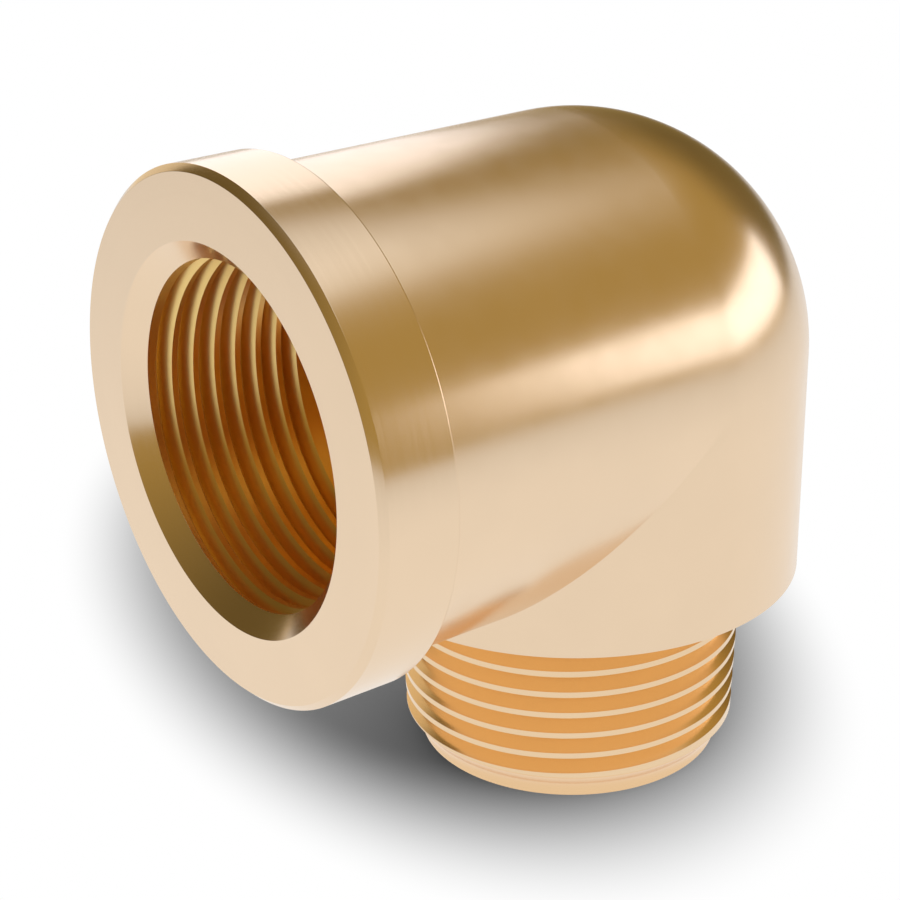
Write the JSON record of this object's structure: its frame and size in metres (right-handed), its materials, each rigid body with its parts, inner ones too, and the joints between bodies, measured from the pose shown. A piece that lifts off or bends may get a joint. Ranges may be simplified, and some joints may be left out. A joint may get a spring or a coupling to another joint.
{
  "type": "street elbow",
  "caption": "Brass pipe elbow that turns a threaded pipe run by 90 degrees, with a female thread at one end and a male thread at the other.",
  "frame": {"origin": "centre of the male end's face", "axes": "+Z along the male end's axis, into the fitting; the female port's axis is -Y, out of its mouth"},
  "size_m": [0.0472, 0.0599, 0.0638],
  "materials": {
    "brass": "cast and machined, smooth, softly polished"
  },
  "bodies": {
    "root": {"elbow_body": "brass"}
  },
  "joints": []
}
